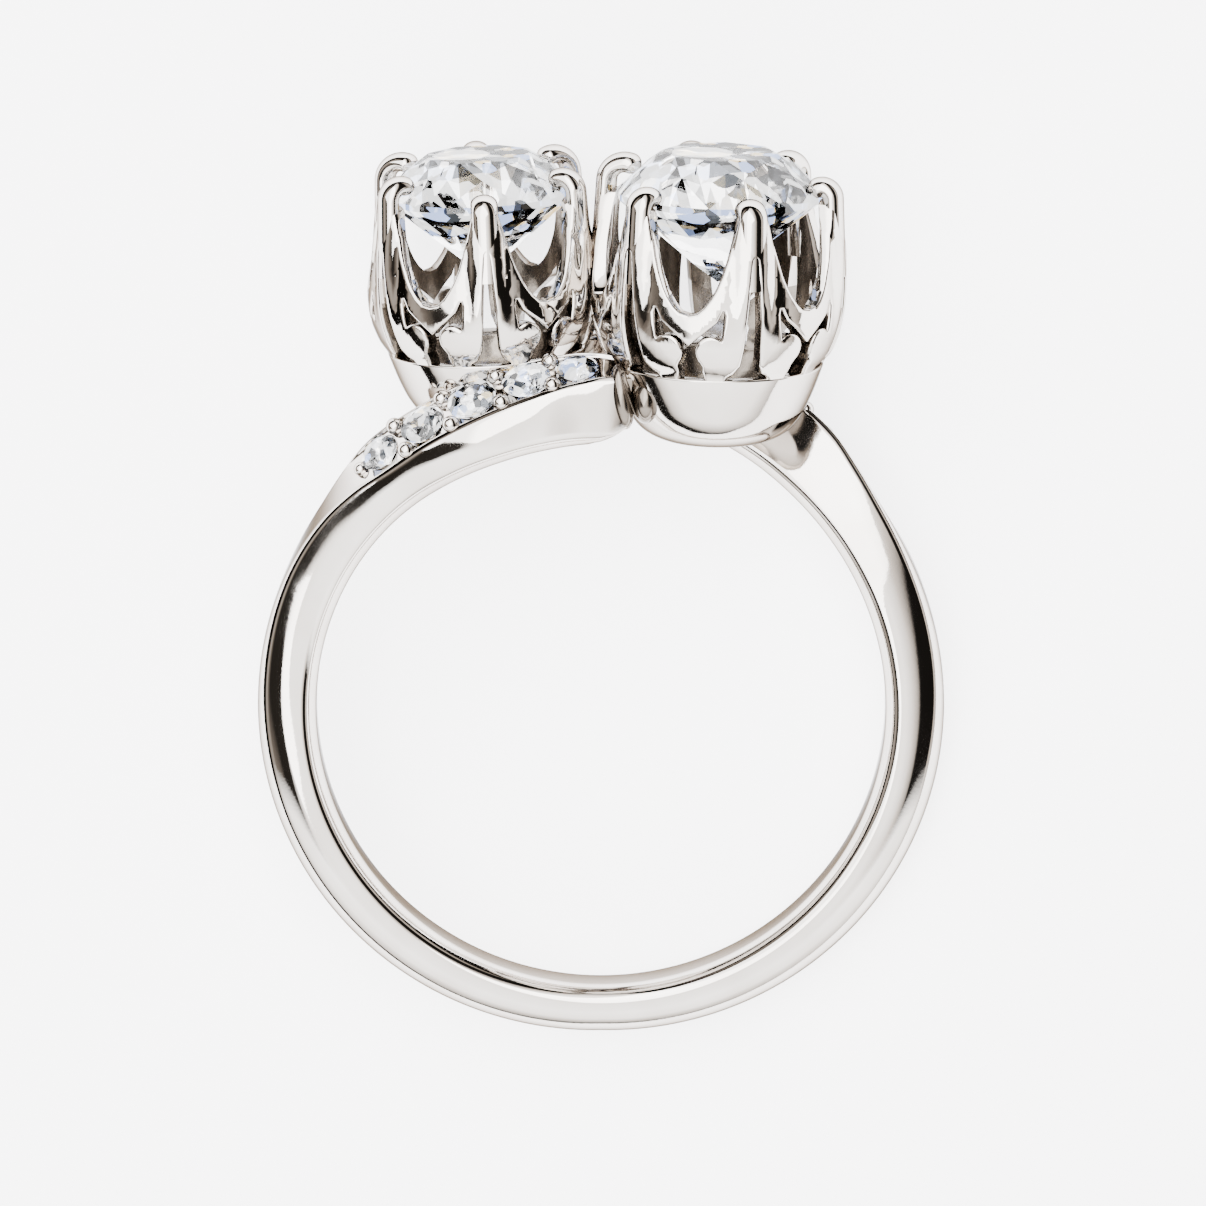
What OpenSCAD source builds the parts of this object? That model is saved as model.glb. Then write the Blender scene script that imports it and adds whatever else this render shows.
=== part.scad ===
/* [Finger] */
// Inside diameter of the ring
finger_d = 16.5; // [14:0.5:22]
// Width of the flat land in the middle of the inside face
land_w = 1.0; // [0.6:0.1:1.4]
// How far the inside face falls away from the finger at its two edges
comfort = 0.35; // [0.1:0.05:0.5]

/* [Band] */
// Width of the band
band_w = 2.05; // [1.8:0.05:2.8]
// Thickness of the band at the bottom of the finger
bottom_t = 1.5; // [1.2:0.05:2.2]
// Thickness of the band at the two sides
side_t = 1.75; // [1.4:0.05:2.4]
// Thickness of each arm where it ends beside a head
arm_t = 2.25; // [2.1:0.05:2.8]
// How far each arm swings off the middle of the finger
arm_swing = 2.1; // [1.9:0.05:2.4]

/* [Arm stones] */
// Width of the flat top that the small stones are set in
channel_w = 1.55; // [1.4:0.05:1.7]
// Lean of that flat top towards the side it faces, in degrees
channel_cant = 33; // [20:1:36]
// Diameter of the largest small stone
small_d = 1.45; // [1.2:0.05:1.5]
// Height of a small stone above its girdle, as a share of its diameter
small_crown_share = 0.16; // [0.12:0.01:0.18]
// Radius of the beads of metal that hold the small stones
bead_r = 0.2; // [0.14:0.01:0.22]
// Width of the thin rail along each side of the flat top
rail_w = 0.12; // [0.08:0.01:0.16]

/* [Heads] */
// Distance of the left head's axis from the middle, across the finger
left_x = 3.47; // [3.4:0.01:3.8]
// Distance of the right head's axis from the middle, across the finger
right_x = 3.38; // [3.3:0.01:3.7]
// Distance of each head's axis in front of or behind the middle
head_y = 0.95; // [0.9:0.01:1.4]
// Height of the bowls' rims above the finger's axis
rim_z = 10.44; // [10.3:0.01:11]
// Size of the right head beside the left one
right_size = 1.07; // [1:0.01:1.08]
// Outer radius of a head at its widest
head_r = 3.5; // [3.3:0.05:3.6]
// Depth of the bowl below its rim
bowl_h = 2.2; // [1.8:0.05:2.3]
// Height from the bowl's rim to the stone's girdle
girdle_h = 4.47; // [4.3:0.01:4.8]
// Height from the bowl's rim to the foot of the openings between the prongs
collar_h = 1.8; // [1.6:0.05:2]
// Height from the bowl's rim to the top of each prong's slit
slit_h = 3.35; // [2.8:0.05:3.6]
// Width of each prong at the stone
prong_w = 0.6; // [0.5:0.02:0.8]
// Radius of the rod that each claw is bent from
claw_r = 0.28; // [0.22:0.01:0.3]
// Thickness of the metal in the gallery
wall = 0.5; // [0.4:0.05:0.6]
// Radius of the round scrolls that the prongs' feet end in
scroll_r = 0.38; // [0.3:0.01:0.4]

/* [Main stones] */
// Diameter of the left stone
stone_d = 5.52; // [5:0.02:5.6]
// Height of the stone above its girdle, as a share of its diameter
crown_share = 0.21; // [0.14:0.01:0.22]
// Depth of the stone below its girdle, as a share of its diameter
pavilion_share = 0.43; // [0.38:0.01:0.45]
// Width of the table, as a share of the diameter
table_share = 0.56; // [0.5:0.01:0.62]
// Gap between a stone and the metal around it
stone_gap = 0.03; // [0.02:0.01:0.06]

/* [Hidden] */
$fn = 64;

finger_r = finger_d / 2;
edge_r = finger_r + comfort;

// Columns of the table of arm sections. Turn is in degrees from the top, away
// from the arm's end. The other columns are shares: of arm_swing, of
// channel_cant, of the way from a round back (0) to a flat top (1), of band_w,
// and of comfort for how far the arm's inside is lifted off the finger.
TURN = 0; SWING = 1; CANT = 2; FLAT = 3; WIDE = 4; LIFT = 5;
ARM = [
    [ -5, 1.07, 0.50, 1.00, 0.52, 1.40],
    [ -2, 1.05, 0.55, 1.00, 0.68, 0.80],
    [  4, 1.01, 0.68, 1.00, 0.84, 0.25],
    [ 12, 1.00, 0.90, 1.00, 1.00, 0.00],
    [ 21, 0.97, 1.00, 1.00, 1.00, 0.00],
    [ 31, 0.77, 1.00, 1.00, 1.00, 0.00],
    [ 40, 0.52, 0.95, 1.00, 1.00, 0.00],
    [ 46, 0.38, 0.60, 0.95, 1.00, 0.00],
    [ 54, 0.24, 0.22, 0.85, 1.00, 0.00],
    [ 66, 0.09, 0.00, 0.65, 1.00, 0.00],
    [ 84, 0.00, 0.00, 0.30, 1.00, 0.00],
    [104, 0.00, 0.00, 0.00, 1.00, 0.00],
    [180, 0.00, 0.00, 0.00, 1.00, 0.00]];

// The small stones of one arm: turn from the top, and share of small_d
STONE_TURN = 0; STONE_SIZE = 1;
ARM_STONES = [[39.2, 0.82], [30.4, 0.93], [21.2, 1.00], [11.9, 0.98], [3.8, 0.84]];

// The outside of a head: share of head_r, and height as a share of bowl_h below
// the rim, of collar_h up to the foot of the openings, then of girdle_h
BOWL = [[0.30, -1.00], [0.44, -0.96], [0.58, -0.84], [0.68, -0.62], [0.76, -0.33], [0.83, 0]];
GALLERY = [[0.89, 0.20], [0.94, 0.45], [0.98, 0.75], [0.995, 1.00]];
PRONG = [[1.00, 0.55], [1.00, 0.80], [0.99, 0.93], [0.98, 1.00]];

// Right halves of the cuts through the gallery. The first column is a share of
// bay, the second of the height named beside each table.
OPENING = [[0.14, 0.02], [0.25, 0.08], [0.36, 0.17], [0.44, 0.26], [0.53, 0.39],
           [0.61, 0.55], [0.68, 0.71], [0.74, 0.85], [0.78, 0.94], [0.845, 1.00]]; // collar_h to girdle_h
SLIT = [[0.35, 0.01], [0.24, 0.04], [0.15, 0.12], [0.12, 0.25], [0.09, 0.5], [0.05, 0.8]]; // slit_h
SCROLL = [[0.24, 0.01], [0.21, 0.12], [0.25, 0.28], [0.39, 0.5], [0.53, 0.63], [0.56, 1.09],
          [0.46, 0.90], [0.30, 0.77], [0.17, 0.68], [0.07, 0.58]]; // collar_h

// Height of each claw above the girdle, as a share of crown_h, from the front
// prong round by the right. The claws at the back stand highest.
LEFT_CLAWS = [0.40, 0.75, 0.96, 0.96, 0.96, 0.75];
RIGHT_CLAWS = [0.32, 0.56, 0.78, 0.88, 0.87, 0.46];

// Values that the heads share
prong_n = 6;
sector = 360 / prong_n;
crown_h = crown_share * stone_d;
pavilion_h = pavilion_share * stone_d;
girdle_share = 0.03;
bay = head_r * sin(sector / 2);

function lerp(a, b, t) = a + (b - a) * t;
function row_at(rows, x, i = 0) = i >= len(rows) - 2 || x < rows[i + 1][0] ? i : row_at(rows, x, i + 1);
function slope(rows, c, i) =
    let (a = max(i - 1, 0), b = min(i + 1, len(rows) - 1))
    (rows[b][c] - rows[a][c]) / (rows[b][0] - rows[a][0]);
// A smooth curve through one column of a table, by the first column
function along(rows, c, x) =
    let (i = row_at(rows, x), h = rows[i + 1][0] - rows[i][0], t = (x - rows[i][0]) / h)
    (2 * t ^ 3 - 3 * t ^ 2 + 1) * rows[i][c] + (t ^ 3 - 2 * t ^ 2 + t) * h * slope(rows, c, i)
    + (3 * t ^ 2 - 2 * t ^ 3) * rows[i + 1][c] + (t ^ 3 - t ^ 2) * h * slope(rows, c, i + 1);

// The arm at one turn
function arm_thick(turn) =
    turn < 90 ? lerp(arm_t, side_t, sin(min(90, max(0, 1.6 * turn)))) : lerp(bottom_t, side_t, sin(turn));
function arm_r(turn) = finger_r + arm_thick(turn);
function arm_cant(turn) = channel_cant * along(ARM, CANT, turn);
function arm_w(turn) = band_w * along(ARM, WIDE, turn);
function arm_front(turn) = -arm_swing * along(ARM, SWING, turn) - arm_w(turn) / 2;
function top_w(turn) = min(channel_w, (arm_w(turn) - 2 * rail_w) / cos(arm_cant(turn)));
function channel_y(turn) = arm_front(turn) + rail_w + top_w(turn) / 2 * cos(arm_cant(turn));

// One section of the band as [radius, y] points: up the front, over the top,
// down the back, and across the inside face, which the finger's bore trims
ROUND_STEPS = [0, 22, 45, 62, 90, 118, 135, 158, 180];
// The arms' insides are eased a hair off the finger, and the round wall starts here
round_from = 38;
eased = 0.03;
function sunk_r(turn) = max(finger_r - 0.2 + (comfort + 0.2) * along(ARM, LIFT, turn),
                            turn < round_from ? finger_r + eased : 0);
function side_r(turn) = max(edge_r, sunk_r(turn) + 0.04);
function dome(turn) = let (e = side_r(turn)) [for (a = ROUND_STEPS)
    [e + (arm_r(turn) - e) * pow(sin(a), 0.8), arm_front(turn) + arm_w(turn) * (1 - cos(a)) / 2]];
function flat_top(turn) =
    let (f = arm_front(turn), w = arm_w(turn), e = side_r(turn), r = arm_r(turn),
         c = arm_cant(turn), tw = top_w(turn), yb = f + rail_w + tw * cos(c),
         rf = r - tw / 2 * sin(c), rb = r + tw / 2 * sin(c))
    [[e, f], [lerp(e, rf, 0.5), f - 0.03 * w], [rf - rail_w, f], [rf, f + rail_w],
     [r, f + rail_w + tw / 2 * cos(c)],
     [rb, yb], [rb - rail_w, min(yb + rail_w, f + w)], [lerp(e, rb, 0.45), lerp(yb + rail_w, f + w, 0.7)],
     [e, f + w]];
function section(turn) =
    let (q = along(ARM, FLAT, turn), a = dome(turn), b = flat_top(turn), f = arm_front(turn), w = arm_w(turn),
         side = (w - land_w * w / band_w) / 2, sunk = sunk_r(turn),
         slant = max(sunk + 0.01, lerp(finger_r, edge_r, 0.35)))
    concat([for (i = [0:len(a) - 1]) lerp(a[i], b[i], q)],
           [[slant, f + w - side / 2], [sunk, f + w - side * 1.5],
            [sunk, f + side * 1.5], [slant, f + side / 2]]);

// The whole band: the front arm from its end to the bottom of the finger, then
// the back arm, which is the front one turned half a turn about the heads' axis
STEP = 3;
half_turns = [for (t = [ARM[0][TURN]:STEP:180 - STEP / 2]) t];
function ring_point(turn, p) = [-p[0] * sin(turn), p[1], p[0] * cos(turn)];
function opposite(p) = [-p[0], -p[1], p[2]];
function front_loop(turn) = [for (p = section(turn)) ring_point(turn, p)];
function back_loop(turn) =
    let (s = section(turn), n = len(s))
    [for (i = [0:n - 1]) opposite(ring_point(turn, s[i < 9 ? 8 - i : n - 1 - (i - 9)]))];
band_loops = concat([for (t = half_turns) front_loop(t)], [front_loop(180)],
                    [for (i = [len(half_turns) - 1:-1:0]) back_loop(half_turns[i])]);

module sweep(loops) {
    n = len(loops[0]);
    m = len(loops);
    polyhedron(
        points = [for (l = loops) each l],
        faces = concat([[for (i = [0:n - 1]) i]],
            [for (j = [0:m - 2], i = [0:n - 1])
                let (a = j * n + i, b = j * n + (i + 1) % n) each [[a, a + n, b], [b, a + n, b + n]]],
            [[for (i = [n - 1:-1:0]) (m - 1) * n + i]]),
        convexity = 6);
}

// Places children on the front arm's flat top, at a turn and a way across it,
// with +Z out of the metal
module on_arm(turn, across = 0) {
    rotate([0, -turn, 0]) translate([0, channel_y(turn), arm_r(turn)]) rotate([arm_cant(turn), 0, 0])
        translate([0, across, 0]) children();
}

// The front arm's things, and the same again for the back arm
module both_arms() {
    children();
    rotate([0, 0, 180]) children();
}

// A round brilliant with its girdle at z = 0: a table, 32 crown facets, a girdle
// of 16 sides and 24 pavilion facets
module brilliant(d, crown_part) {
    r = d / 2;
    rt = r * table_share;
    ra = r * lerp(table_share, 1, 0.52);
    rb = r * 0.24;
    g = girdle_share / 2 * d;
    crown = crown_part * d;
    pavilion = pavilion_share * d;
    ha = g + (crown - g) * (r - ra * cos(22.5)) / (r - rt);
    hb = -g - (pavilion - g) * (1 - rb * cos(22.5) / r);
    points = concat(
        [for (k = [0:7]) [rt * cos(45 * k), rt * sin(45 * k), crown]],
        [for (k = [0:7]) [ra * cos(45 * k + 22.5), ra * sin(45 * k + 22.5), ha]],
        [for (k = [0:15]) [r * cos(22.5 * k), r * sin(22.5 * k), g]],
        [for (k = [0:15]) [r * cos(22.5 * k), r * sin(22.5 * k), -g]],
        [for (k = [0:7]) [rb * cos(45 * k + 22.5), rb * sin(45 * k + 22.5), hb]],
        [[0, 0, -pavilion]]);
    T = 0; A = 8; G = 16; H = 32; B = 48; culet = 56;
    faces = concat(
        [[for (k = [7:-1:0]) T + k]],
        [for (k = [0:7]) let (n = (k + 1) % 8) [T + k, T + n, A + k]],
        [for (k = [0:7]) let (n = (k + 1) % 8) each [[T + n, A + n, G + 2 * n], [T + n, G + 2 * n, A + k]]],
        [for (k = [0:7]) let (n = (k + 1) % 8) each [
            [A + k, G + 2 * k + 1, G + 2 * k], [A + k, G + 2 * n, G + 2 * k + 1]]],
        [for (k = [0:15]) let (n = (k + 1) % 16) each [[G + k, G + n, H + n], [G + k, H + n, H + k]]],
        [for (k = [0:7]) let (n = (k + 1) % 8) each [
            [B + k, H + 2 * k, H + 2 * k + 1], [B + k, H + 2 * k + 1, H + 2 * n]]],
        [for (k = [0:7]) let (n = (k + 1) % 8) each [[B + k, H + 2 * n, B + n], [culet, B + k, B + n]]]);
    polyhedron(points, faces, convexity = 2);
}

// The round space that a stone needs: its own outline, a gap larger
module seat(d, crown) {
    r = d / 2 + stone_gap;
    edge = girdle_share / 2 * d + stone_gap;
    rotate_extrude()
        polygon([[0, -pavilion_share * d - 2 * stone_gap], [r, -edge], [r, edge],
                 [r * table_share, crown * d + stone_gap], [0, crown * d + stone_gap]]);
}

// The outside and the inside of a head up to its prongs' tops, as one outline to
// turn, with z = 0 at the bowl's rim
module head_outline() {
    outside = concat(
        [for (p = BOWL) [p[0] * head_r, p[1] * bowl_h]],
        [for (p = GALLERY) [p[0] * head_r, p[1] * collar_h]],
        [for (p = PRONG) [p[0] * head_r, p[1] * girdle_h]]);
    inside = [[stone_d / 2 - 0.14, girdle_h], [stone_d / 2 - 0.1, 0.9 * girdle_h],
              [head_r - wall - 0.12, 0.6 * girdle_h], [head_r - wall - 0.15, collar_h],
              [0.88 * head_r - wall, 0.3 * collar_h], [0.82 * head_r - wall, -0.1 * bowl_h],
              [0.7 * head_r - wall, -0.45 * bowl_h], [0.3 * head_r, -bowl_h + wall], [0, -bowl_h + wall]];
    polygon(concat([[0, -bowl_h]], outside, inside));
}

// A prism that cuts through the gallery, drawn as seen from outside the head,
// with both halves of a symmetrical outline
module cut_through(turn) {
    rotate([0, 0, turn]) rotate([90, 0, 0]) linear_extrude(head_r * 1.3) children();
}
module both_halves(half, foot, top) {
    polygon(concat(foot, half, top, [for (i = [len(half) - 1:-1:0]) [-half[i][0], half[i][1]]]));
}

// The opening between two prongs, from the collar up
module between_prongs() {
    high = girdle_h * 1.5;
    side = [for (p = OPENING) [p[0] * bay, lerp(collar_h, girdle_h, p[1])]];
    edge = bay - prong_w / 2;
    both_halves(concat(side, [[edge, girdle_h * 1.08], [edge, high]]), [[0, collar_h]], []);
}

// The tall slit up the middle of a prong, widening to the gap between its feet
module prong_slit() {
    both_halves([for (p = SLIT) [p[0] * bay, p[1] * slit_h]], [], [[0, slit_h]]);
}

// The hole under the collar between two prongs' feet: round the scrolls, up
// beside the legs and down to the collar's point
module scroll_hole() {
    difference() {
        both_halves([for (p = SCROLL) [p[0] * bay, p[1] * collar_h]], [], [[0, 0.5 * collar_h]]);
        for (side = [-1, 1]) translate([side * 0.39 * bay, 0.44 * collar_h]) circle(scroll_r);
    }
}

// The rounded claw at a prong's top: a rod that stands up from the prong and is
// bent over the stone's edge. A ring of it is placed by its middle, lean and radius.
function claw_ring(y, z, lean, r) =
    [for (a = [0:36:324]) [r * cos(a), y + r * sin(a) * cos(lean), z - r * sin(a) * sin(lean)]];
module claw(rise) {
    over = 108;
    axis_r = 0.965 * head_r - claw_r;
    bend = max(1.1 * claw_r, 0.7 * rise - 0.2);
    foot = 0.8;
    start_z = girdle_h + rise - claw_r - bend;
    tip_y = bend - axis_r - bend * cos(over);
    tip_z = start_z + bend * sin(over);
    sweep(concat([claw_ring(-axis_r, girdle_h - foot, 0, claw_r)],
        [for (a = [0:27:over]) claw_ring(bend - axis_r - bend * cos(a), start_z + bend * sin(a), a, claw_r)],
        [for (u = [40, 72]) let (out = claw_r * sin(u))
            claw_ring(tip_y + out * sin(over), tip_z + out * cos(over), over, claw_r * cos(u))]));
}

// One pierced head, with z = 0 at its bowl's rim
module head(claws) {
    difference() {
        union() {
            difference() {
                rotate_extrude() head_outline();
                for (i = [0:prong_n - 1]) {
                    cut_through(i * sector + sector / 2) between_prongs();
                    cut_through(i * sector + sector / 2) scroll_hole();
                    cut_through(i * sector) prong_slit();
                }
            }
            for (i = [0:prong_n - 1]) rotate([0, 0, i * sector]) claw(claws[i] * crown_h);
        }
        translate([0, 0, girdle_h]) seat(stone_d, crown_share);
    }
}

// Where each head stands, how far it is turned about its own axis and leans
// outwards, and its size beside the left one. It leans about the middle of its stone.
HEAD_X = 0; HEAD_Y = 1; HEAD_TURN = 2; HEAD_LEAN = 3; HEAD_SHARE = 4;
LEFT = [-left_x, head_y, 3, -2.5, 1];
RIGHT = [right_x, -head_y, 16, 1, right_size];

module at_head(h) {
    translate([h[HEAD_X], h[HEAD_Y], rim_z + h[HEAD_SHARE] * girdle_h])
        rotate([0, h[HEAD_LEAN], 0]) rotate([0, 0, h[HEAD_TURN]]) scale(h[HEAD_SHARE])
            translate([0, 0, -girdle_h]) children();
}

// A smooth pebble of metal, by half its width, depth and height
module pebble(half) {
    last = 72;
    sweep([for (up = [-last:24:last]) [for (a = [0:40:320])
        [half[0] * cos(up) * cos(a), half[1] * cos(up) * sin(a), half[2] * sin(up) / sin(last)]]]);
}

// The fluted joint between the front arm's end and the right bowl: a leaf on the
// arm's end, a thin ridge and a lobe. Each has its place as shares of head_r from the
// bowl's axis, of band_w in front of the arm's middle, and of bowl_h from the rim,
// then half its size as shares of band_w, and its tilt in degrees.
MIDDLE = 0; HALF = 1; TILT = 2;
JOINT = [
    [[-0.794, -0.220, -0.359], [0.166, 0.244, 0.463], 8],
    [[-0.746, -0.254, -0.291], [0.034, 0.244, 0.390], 20],
    [[-0.603, -0.244, -0.391], [0.195, 0.293, 0.332], 0]];
module joint() {
    for (p = JOINT) let (m = p[MIDDLE])
        translate([right_x + m[0] * head_r, m[1] * band_w - arm_swing, rim_z + m[2] * bowl_h])
            rotate([0, -p[TILT], 0]) pebble(p[HALF] * band_w);
}

// The beads between the front arm's small stones, a pair at each gap, and one at
// the point where the flat top starts
module beads() {
    point_turn = 43.6;
    for (i = [1:len(ARM_STONES) - 1], side = [-1, 1]) {
        turn = (ARM_STONES[i - 1][STONE_TURN] + ARM_STONES[i][STONE_TURN]) / 2;
        on_arm(turn, side * 0.36 * channel_w) sphere(bead_r);
    }
    on_arm(point_turn) sphere(0.8 * bead_r);
}

module arm_seat(i) {
    on_arm(ARM_STONES[i][STONE_TURN]) seat(small_d * ARM_STONES[i][STONE_SIZE], small_crown_share);
}

// How the ring lies on the floor by itself. It touches with the left head's back
// prong, the back arm and the lower part of the band.
function head_point(h, prong, r, z) =
    let (a = h[HEAD_TURN] + prong * sector, k = h[HEAD_SHARE], x = k * r * sin(a), up = k * (z - girdle_h),
         lean = h[HEAD_LEAN])
    [h[HEAD_X] + x * cos(lean) + up * sin(lean), h[HEAD_Y] - k * r * cos(a),
     rim_z + k * girdle_h + up * cos(lean) - x * sin(lean)];
function prong_points(h, prong) = [
    for (p = GALLERY) head_point(h, prong, p[0] * head_r, p[1] * collar_h),
    for (p = PRONG) head_point(h, prong, p[0] * head_r, p[1] * girdle_h)];
function farthest(points, n) =
    let (most = max([for (p = points) p * n])) [for (p = points) if (p * n >= most) p][0];
function plane_down(a, b, c) = let (n = cross(b - a, c - a)) (n[1] > 0 ? n : -n) / norm(n);
band_points = [for (l = band_loops) each l];
arm_points = [for (p = band_points) if (p[0] > 0 && p[2] > 0) p];
low_points = [for (p = band_points) if (p[2] < 0) p];
// The left head's gallery around its back prong, which is the fourth
head_points = [for (prong = [2.7:0.1:3.2]) each prong_points(LEFT, prong)];
function settled(n, times) = times == 0 ? n : settled(
    plane_down(farthest(head_points, n), farthest(arm_points, n), farthest(low_points, n)), times - 1);
down = settled([0, 1, 0], 8);
lean_x = atan2(-down[1], -down[2]);
lean_y = atan2(down[0], norm([down[1], down[2]]));

// The same turn for single points, to find the laid ring's outline
function leaned(p) =
    let (y = p[1] * cos(lean_x) - p[2] * sin(lean_x), z = p[1] * sin(lean_x) + p[2] * cos(lean_x))
    [p[0] * cos(lean_y) + z * sin(lean_y), y, z * cos(lean_y) - p[0] * sin(lean_y)];
outline = [
    for (p = band_points) leaned(p),
    for (h = [LEFT, RIGHT], i = [0:prong_n - 1], p = [
        [head_r, 0.9 * girdle_h], [0.8 * head_r, girdle_h + 0.9 * crown_h],
        [table_share * stone_d / 2, girdle_h + crown_h]]) leaned(head_point(h, i, p[0], p[1]))];
function ends(axis) = let (v = [for (p = outline) p[axis]]) [min(v), max(v)];
laid_middle = [(ends(0)[0] + ends(0)[1]) / 2, (ends(1)[0] + ends(1)[1]) / 2,
               -(down * farthest(low_points, down))];

module laid() {
    translate(-laid_middle) rotate([lean_x, lean_y, 0]) children();
}

// All the metal, upright: the band and both heads soldered to its arms
module metal() {
    difference() {
        union() {
            sweep(band_loops);
            at_head(LEFT) head(LEFT_CLAWS);
            at_head(RIGHT) head(RIGHT_CLAWS);
            both_arms() {
                joint();
                beads();
            }
        }
        rotate([90, 0, 0]) cylinder(r = finger_r, h = 4 * band_w + 4 * arm_swing, center = true);
        both_arms() for (i = [0:len(ARM_STONES) - 1]) arm_seat(i);
    }
}

module ring_mount() {
    color("gainsboro") laid() metal();
}

module main_stone(h) {
    color("lightcyan") laid() at_head(h) translate([0, 0, girdle_h])
        rotate([0, 0, 22.5]) brilliant(stone_d, crown_share);
}
module left_stone() { main_stone(LEFT); }
module right_stone() { main_stone(RIGHT); }

// The small stones, counted from the far end of each arm
module small_stone(i) {
    on_arm(ARM_STONES[i][STONE_TURN]) brilliant(small_d * ARM_STONES[i][STONE_SIZE], small_crown_share);
}
module front_stone(i) {
    color("azure") laid() small_stone(i);
}
module back_stone(i) {
    color("azure") laid() rotate([0, 0, 180]) small_stone(i);
}

ring_mount();
left_stone();
right_stone();
for (i = [1:5]) {
    front_stone(i - 1);
    back_stone(i - 1);
}
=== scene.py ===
from math import asin, atan, atan2, cos, degrees, hypot, pi, radians, sin

import bmesh
import bpy
from mathutils import Euler, Matrix, Vector


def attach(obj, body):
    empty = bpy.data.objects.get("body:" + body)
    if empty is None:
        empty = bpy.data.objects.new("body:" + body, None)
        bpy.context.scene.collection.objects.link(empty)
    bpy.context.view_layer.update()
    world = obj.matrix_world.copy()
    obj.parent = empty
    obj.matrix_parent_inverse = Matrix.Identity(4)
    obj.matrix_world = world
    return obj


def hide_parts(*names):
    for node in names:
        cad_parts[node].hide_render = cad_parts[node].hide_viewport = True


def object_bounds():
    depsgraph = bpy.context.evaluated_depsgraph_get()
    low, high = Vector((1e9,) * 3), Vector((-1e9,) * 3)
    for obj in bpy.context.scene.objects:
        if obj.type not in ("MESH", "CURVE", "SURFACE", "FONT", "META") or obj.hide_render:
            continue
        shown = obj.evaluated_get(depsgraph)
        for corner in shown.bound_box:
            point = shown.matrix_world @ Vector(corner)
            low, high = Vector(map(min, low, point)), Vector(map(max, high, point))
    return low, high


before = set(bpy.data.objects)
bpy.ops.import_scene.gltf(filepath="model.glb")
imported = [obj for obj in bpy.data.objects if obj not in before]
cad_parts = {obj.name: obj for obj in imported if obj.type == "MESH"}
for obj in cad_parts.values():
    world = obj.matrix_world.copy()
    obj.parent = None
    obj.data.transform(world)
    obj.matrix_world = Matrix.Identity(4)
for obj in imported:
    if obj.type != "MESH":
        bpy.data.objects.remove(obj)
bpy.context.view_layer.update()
scene = bpy.context.scene

# The camera
# The photograph looks level across the finger and slightly down on the stones, from far
# enough away to flatten the ring. Here the ring lies on its side, so the camera is turned
# with it.
photo_size = 1206
finger_column, finger_row = 601, 705.3
pixels_per_mm = 34.42
distance = 250
rise = radians(13.5)
lens_pixels = pixels_per_mm * distance
dip = rise - atan((finger_row - photo_size / 2) / lens_pixels)

# Every piece is shaped upright in millimetres, with the finger along Y and the heads up.
# This turns it onto its side, in metres, where the CAD solids lie.
lean = Euler((radians(-83.4876), radians(7.85161), 0)).to_matrix().to_4x4()
middle = Vector((-0.00153079, 3.38848, -2.55954))
laid = Matrix.Scale(0.001, 4) @ Matrix.Translation(-middle) @ lean

camera_data = bpy.data.cameras.new("camera")
camera_data.sensor_width = 36
camera_data.lens = lens_pixels / photo_size * camera_data.sensor_width
camera_data.clip_start = 0.01
camera = bpy.data.objects.new("camera", camera_data)
scene.collection.objects.link(camera)
off_middle = (photo_size / 2 - finger_column) / pixels_per_mm
stand = Vector((off_middle, -distance * cos(rise), distance * sin(rise)))
sight = lean @ Matrix.Rotation(pi / 2 - dip, 4, "X")
camera.matrix_world = Matrix.Translation(laid @ stand) @ sight
scene.camera = camera

# The band
# Platinum, filed and polished. It is round at the back of the finger, and its two arms
# swing apart and widen into flat tops for the small stones. Each arm ends beside one head.
finger_r = 8.25
finger_gap = 0.003
comfort = 0.35
land_w = 1.0
band_w = 2.05
bottom_t, side_t, arm_t = 1.5, 1.73, 2.25
arm_swing = 2.1
rail_w = 0.12

# The inside face: how deep it would bite into the finger where it isn't lifted off, how
# far its edges and slants stand above it, and where its slants and its land lie
inner_bite = 0.2
edge_rise, slant_rise = 0.04, 0.01
slant_share = 0.35
land_share, lifted_land_share = 0.88, 1.5
dome_power = 0.8

# The channel in each arm's flat top: its cant in degrees, the top and the foot of its
# walls in from the flat top's edge, and the turn at which it has run out
channel_w = 1.55
channel_cant = 33
channel_depth = 0.11
wall_top, wall_foot = 0.05, 0.09
channel_end, channel_fade = 45.5, 4

# Turn from the top in degrees, then shares of the swing, of the cant, of a flat top,
# of the width, and of the lift of the inside off the finger
TURN, SWING, CANT, FLAT, WIDE, LIFT = range(6)
arm_rows = [
    [-5, 1.07, 0.50, 1.00, 0.52, 1.40],
    [-2, 1.05, 0.55, 1.00, 0.68, 0.80],
    [4, 1.01, 0.68, 1.00, 0.84, 0.25],
    [12, 1.00, 0.90, 1.00, 1.00, 0.00],
    [21, 0.97, 1.00, 1.00, 1.00, 0.00],
    [31, 0.77, 1.00, 1.00, 1.00, 0.00],
    [40, 0.52, 0.95, 1.00, 1.00, 0.00],
    [46, 0.38, 0.60, 0.95, 1.00, 0.00],
    [54, 0.24, 0.22, 0.85, 1.00, 0.00],
    [66, 0.09, 0.00, 0.65, 1.00, 0.00],
    [84, 0.00, 0.00, 0.30, 1.00, 0.00],
    [104, 0.00, 0.00, 0.00, 1.00, 0.00],
    [180, 0.00, 0.00, 0.00, 1.00, 0.00]]


def between(a, b, t):
    return a + (b - a) * t


def limited(value, least=0, most=1):
    return min(max(value, least), most)


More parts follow.
